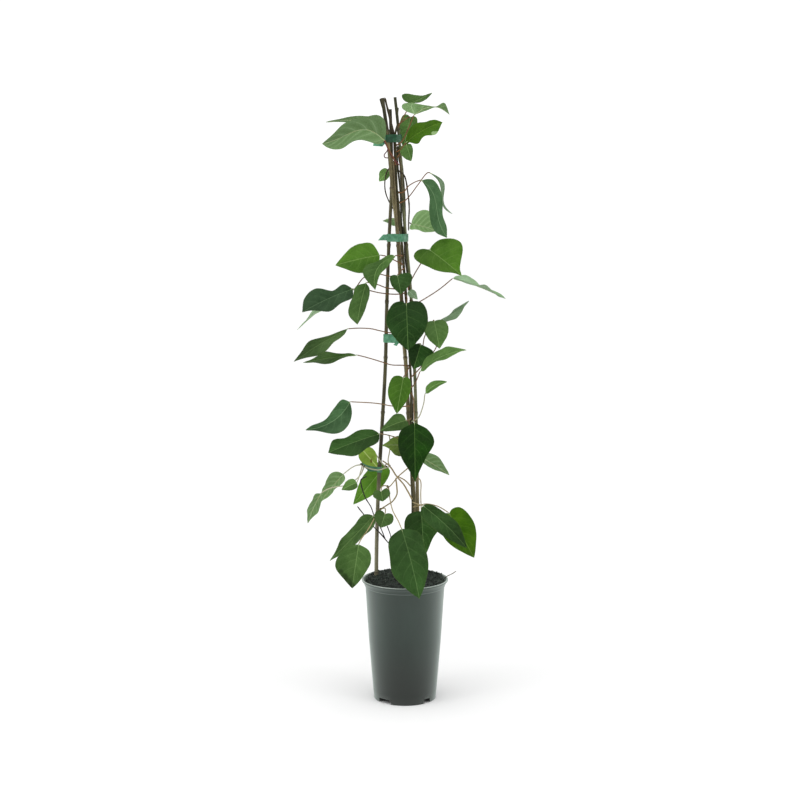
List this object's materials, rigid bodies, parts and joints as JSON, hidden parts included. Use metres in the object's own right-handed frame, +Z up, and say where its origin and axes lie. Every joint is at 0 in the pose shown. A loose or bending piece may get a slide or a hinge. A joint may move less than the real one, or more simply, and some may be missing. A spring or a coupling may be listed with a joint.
{
  "type": "potted climbing vine",
  "caption": "Tall hardy kiwi vine in a round nursery pot, tied to slender bamboo canes, with heart-shaped leaves on long reddish stalks.",
  "frame": {"origin": "centre of the pot's foot circle on the ground, at the pot's middle foot", "axes": "+Z up along the pot's axis; +X to the viewer's right; -Y towards the viewer"},
  "size_m": [0.3587, 0.1677, 1.0435],
  "materials": {
    "pot_plastic": "satin grey-green plastic",
    "potting_soil": "dark, matte, crumbly soil",
    "cane_brown": "weathered bamboo, satin",
    "cane_tan": "mottled bamboo, satin",
    "cane_green": "dark green bamboo, satin",
    "tape": "soft translucent plastic tape",
    "woody_stem": "dark ribbed bark, matte",
    "young_stem": "reddish-brown living stem, satin",
    "leaf_fresh": "fresh green leaf, satin",
    "leaf_bright": "bright green leaf, satin",
    "leaf_mid": "mid green leaf, satin",
    "leaf_deep": "deep green leaf, satin",
    "leaf_dark": "dark green leaf, satin",
    "leaf_blue": "bluish-green leaf, satin",
    "leaf_pale": "pale leaf underside, matte",
    "leaf_olive": "yellow-green leaf, satin"
  },
  "bodies": {
    "root": {"pot": "pot_plastic", "soil": "potting_soil", "cane_left": "cane_brown", "cane_middle": "cane_tan", "cane_right": "cane_green", "vine_woody": "woody_stem", "vine_young": "young_stem", "tie_1": "tape", "tie_2": "tape", "tie_3": "tape", "tie_4": "tape", "leaf_01": "leaf_pale", "leaf_02": "leaf_pale", "leaf_03": "leaf_mid", "leaf_04": "leaf_pale", "leaf_05": "leaf_fresh", "leaf_06": "leaf_mid", "leaf_07": "leaf_mid", "leaf_08": "leaf_fresh", "leaf_09": "leaf_pale", "leaf_10": "leaf_pale", "leaf_11": "leaf_blue", "leaf_12": "leaf_blue", "leaf_13": "leaf_fresh", "leaf_14": "leaf_mid", "leaf_15": "leaf_mid", "leaf_16": "leaf_blue", "leaf_17": "leaf_pale", "leaf_18": "leaf_mid", "leaf_19": "leaf_mid", "leaf_20": "leaf_fresh", "leaf_21": "leaf_pale", "leaf_22": "leaf_deep", "leaf_23": "leaf_dark", "leaf_24": "leaf_mid", "leaf_25": "leaf_pale", "leaf_26": "leaf_dark", "leaf_27": "leaf_mid", "leaf_28": "leaf_fresh", "leaf_29": "leaf_fresh", "leaf_30": "leaf_mid", "leaf_31": "leaf_dark", "leaf_32": "leaf_pale", "leaf_33": "leaf_olive", "leaf_34": "leaf_blue", "leaf_35": "leaf_deep", "leaf_36": "leaf_olive", "leaf_37": "leaf_pale", "leaf_38": "leaf_pale", "leaf_39": "leaf_mid", "leaf_40": "leaf_fresh", "leaf_41": "leaf_pale", "leaf_42": "leaf_mid", "leaf_43": "leaf_mid", "leaf_44": "leaf_blue", "leaf_45": "leaf_mid", "leaf_46": "leaf_deep", "leaf_47": "leaf_deep", "leaf_48": "leaf_blue", "leaf_49": "leaf_bright"}
  },
  "joints": []
}
